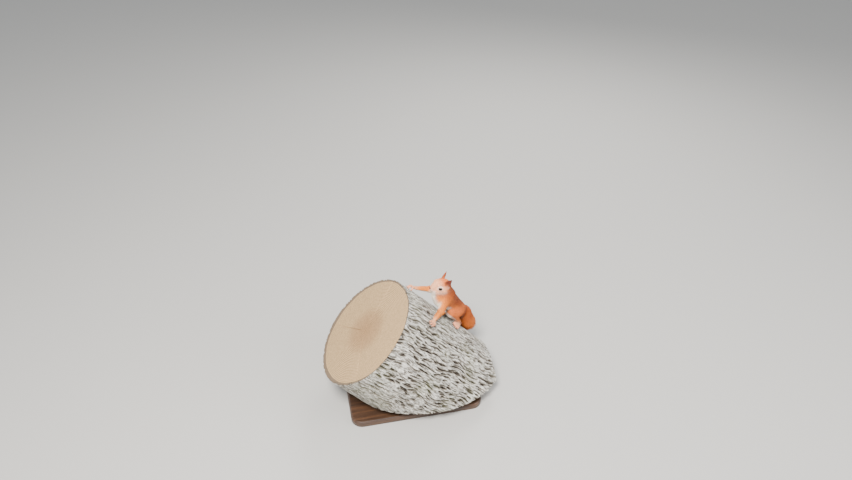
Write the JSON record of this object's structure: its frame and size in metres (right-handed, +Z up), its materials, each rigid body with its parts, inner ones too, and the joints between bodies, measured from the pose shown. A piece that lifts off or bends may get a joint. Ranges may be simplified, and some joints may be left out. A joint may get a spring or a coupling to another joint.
{
  "type": "red squirrel",
  "caption": "Still life-size red squirrel gripping a short leaning section of tree trunk on a flat display base.",
  "frame": {"origin": "middle of the underside of the flat base", "axes": "+Z up; the trunk section leans over towards -X, and the squirrel climbs that way up its upper side; -Y is the side that shows the animal's left"},
  "size_m": [0.3878, 0.2715, 0.2832],
  "materials": {
    "base": "dark satin varnish",
    "steel": "brushed",
    "bark": "rough fissured grey bark, bare sawn ends",
    "face_fur": "very short pale peach fur",
    "coat_fur": "short red-brown fur, cream white below",
    "limb_fur": "very short orange fur, pink bare digits",
    "tail_fur": "long loose orange-brown hair",
    "bare_skin": "moist bare skin",
    "eye": "glossy",
    "claw": "dark horn"
  },
  "bodies": {
    "root": {"stand_base": "base", "stand_rod_front": "steel", "stand_rod_rear": "steel", "perch_trunk_section": "bark", "head": "face_fur", "nose": "bare_skin", "eye_left": "eye", "ear_left": "coat_fur", "eye_right": "eye", "ear_right": "coat_fur", "neck": "coat_fur", "trunk": "coat_fur", "upper_arm_left": "limb_fur", "forearm_left": "limb_fur", "forepaw_left": "limb_fur", "thigh_left": "coat_fur", "shank_left": "limb_fur", "hind_foot_left": "limb_fur", "claw_fore_left_inner": "claw", "claw_fore_left_second": "claw", "claw_fore_left_third": "claw", "claw_fore_left_outer": "claw", "claw_hind_left_first": "claw", "claw_hind_left_second": "claw", "claw_hind_left_third": "claw", "claw_hind_left_fourth": "claw", "claw_hind_left_fifth": "claw", "upper_arm_right": "limb_fur", "forearm_right": "limb_fur", "forepaw_right": "limb_fur", "thigh_right": "coat_fur", "shank_right": "limb_fur", "hind_foot_right": "limb_fur", "claw_fore_right_inner": "claw", "claw_fore_right_second": "claw", "claw_fore_right_third": "claw", "claw_fore_right_outer": "claw", "claw_hind_right_first": "claw", "claw_hind_right_second": "claw", "claw_hind_right_third": "claw", "claw_hind_right_fourth": "claw", "claw_hind_right_fifth": "claw", "tail_root": "tail_fur", "tail_middle": "tail_fur", "tail_tip": "tail_fur"}
  },
  "joints": []
}
